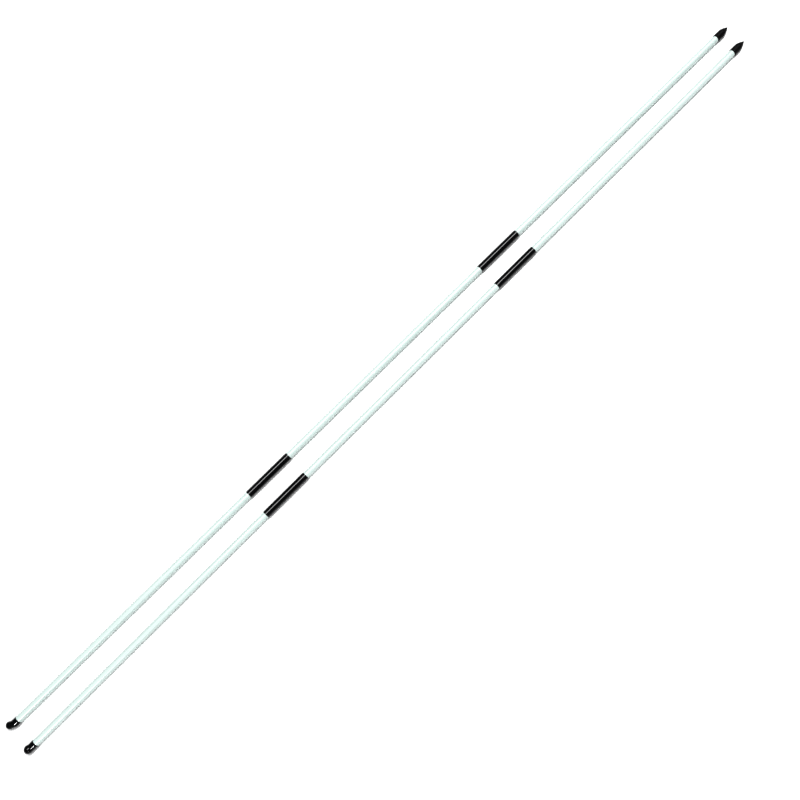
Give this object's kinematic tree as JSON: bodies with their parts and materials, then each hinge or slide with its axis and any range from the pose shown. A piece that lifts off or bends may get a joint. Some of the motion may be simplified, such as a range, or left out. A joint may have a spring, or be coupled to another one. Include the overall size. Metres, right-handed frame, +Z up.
{
  "type": "sectional alignment rod pair",
  "caption": "Pair of slim white pull-apart alignment rods with black joint sleeves, a ground point and a soft end cap, strung on an inner shock cord.",
  "frame": {"origin": "on the surface that the pair lies on, under the middle of its bounding box", "axes": "+X along the rods towards their ground points, +Z up from the surface, +Y from the near rod to the far rod"},
  "size_m": [1.2208, 0.0452, 0.0102],
  "materials": {
    "white_fibreglass": "smooth gloss white over pultruded glass fibre",
    "black_sleeve": "smooth gloss black",
    "cap_vinyl": "dipped black vinyl, glossy",
    "point_black": "moulded matte black",
    "shock_cord": "braided sheath over latex",
    "stop_nylon": "natural nylon"
  },
  "bodies": {
    "far_middle_section": {"far_middle_tube": "white_fibreglass", "far_upper_sleeve": "black_sleeve", "far_middle_cord": "shock_cord"},
    "far_lower_section": {"far_end_cap": "cap_vinyl", "far_lower_tube": "white_fibreglass", "far_lower_sleeve": "black_sleeve", "far_lower_cord_knot": "shock_cord", "far_lower_cord_stop": "stop_nylon", "far_lower_cord": "shock_cord"},
    "far_upper_section": {"far_upper_tube": "white_fibreglass", "far_upper_cord": "shock_cord", "far_upper_cord_stop": "stop_nylon", "far_upper_cord_knot": "shock_cord", "far_ground_point": "point_black"},
    "near_middle_section": {"near_middle_tube": "white_fibreglass", "near_upper_sleeve": "black_sleeve", "near_middle_cord": "shock_cord"},
    "near_lower_section": {"near_end_cap": "cap_vinyl", "near_lower_tube": "white_fibreglass", "near_lower_sleeve": "black_sleeve", "near_lower_cord_knot": "shock_cord", "near_lower_cord_stop": "stop_nylon", "near_lower_cord": "shock_cord"},
    "near_upper_section": {"near_upper_tube": "white_fibreglass", "near_upper_cord": "shock_cord", "near_upper_cord_stop": "stop_nylon", "near_upper_cord_knot": "shock_cord", "near_ground_point": "point_black"}
  },
  "joints": [
    {"name": "far_lower_pull", "type": "slide", "parent": "far_middle_section", "child": "far_lower_section", "axis": [-1, 0, 0], "range_m": [0, 0.045], "stiffness_N_per_m": 30, "springref_m": -0.25, "deforming": ["far_lower_cord"]},
    {"name": "far_upper_pull", "type": "slide", "parent": "far_middle_section", "child": "far_upper_section", "axis": [1, 0, 0], "range_m": [0, 0.045], "stiffness_N_per_m": 30, "springref_m": -0.25, "deforming": ["far_upper_cord"]},
    {"name": "near_lower_pull", "type": "slide", "parent": "near_middle_section", "child": "near_lower_section", "axis": [-1, -0.0042, 0], "range_m": [0, 0.045], "stiffness_N_per_m": 30, "springref_m": -0.25, "deforming": ["near_lower_cord"]},
    {"name": "near_upper_pull", "type": "slide", "parent": "near_middle_section", "child": "near_upper_section", "axis": [1, 0.0042, 0], "range_m": [0, 0.045], "stiffness_N_per_m": 30, "springref_m": -0.25, "deforming": ["near_upper_cord"]},
    {"name": "near_rod_aside", "type": "slide", "parent": "far_middle_section", "child": "near_middle_section", "axis": [0, -1, 0], "range_m": [0, 0.1]}
  ]
}
